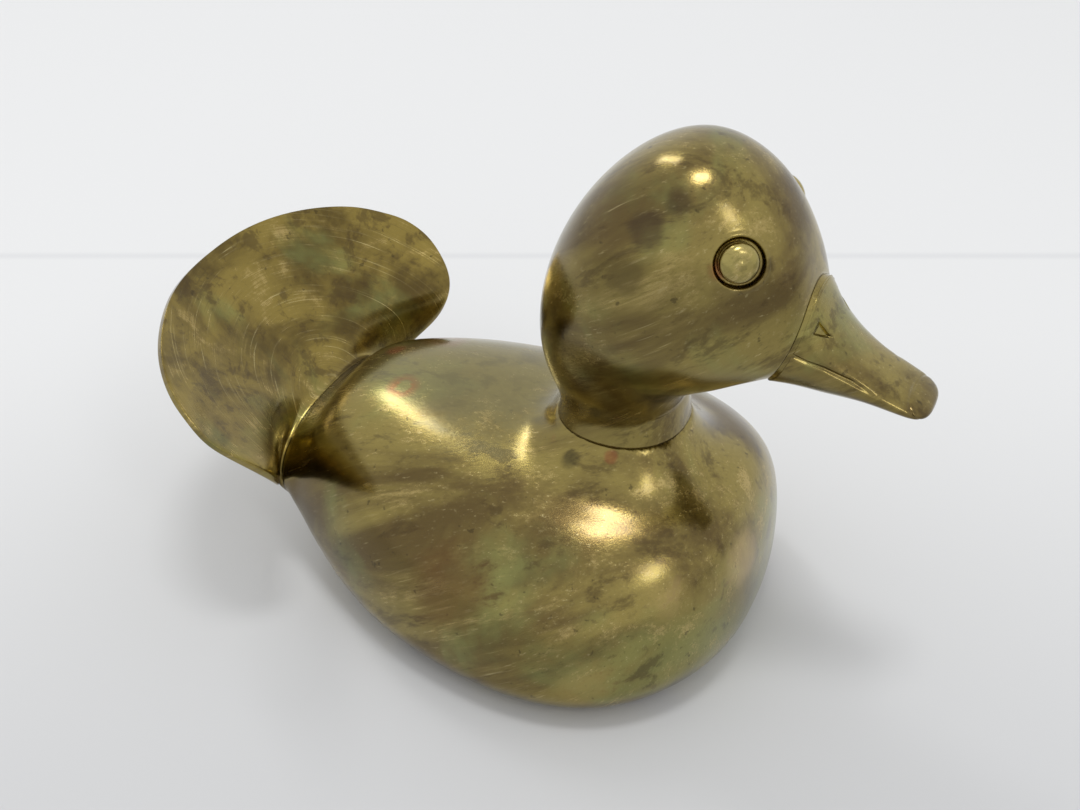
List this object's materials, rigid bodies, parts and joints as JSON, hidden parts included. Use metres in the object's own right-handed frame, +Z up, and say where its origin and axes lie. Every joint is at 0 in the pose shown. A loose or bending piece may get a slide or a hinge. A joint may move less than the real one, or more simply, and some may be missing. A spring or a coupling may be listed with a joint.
{
  "type": "duck ornament",
  "caption": "Standing brass duck ornament with a hollow egg-shaped body, upright head on a short neck, drooping bill, domed round eyes and a wide dished tail fan.",
  "frame": {"origin": "middle of the overall box at the height of the rim that the duck stands on", "axes": "+X forwards to the bill, +Y to the duck's own left, +Z up"},
  "size_m": [0.1464, 0.0814, 0.1018],
  "materials": {
    "aged_brass_body": "aged, rubbed to a soft gloss",
    "aged_brass_head": "aged, rubbed to a soft gloss",
    "aged_brass_tail": "aged, brushed in arcs",
    "aged_brass_bill": "aged, satin",
    "fastener_steel": "dull plated"
  },
  "bodies": {
    "root": {"body_shell": "aged_brass_body", "tail_fan": "aged_brass_tail", "head_casting": "aged_brass_head", "bill_casting": "aged_brass_bill", "eye_stud_left": "aged_brass_head", "eye_stud_right": "aged_brass_head", "neck_stud": "fastener_steel", "neck_washer": "fastener_steel", "neck_nut": "fastener_steel", "tail_washer": "fastener_steel", "tail_screw": "fastener_steel"}
  },
  "joints": []
}
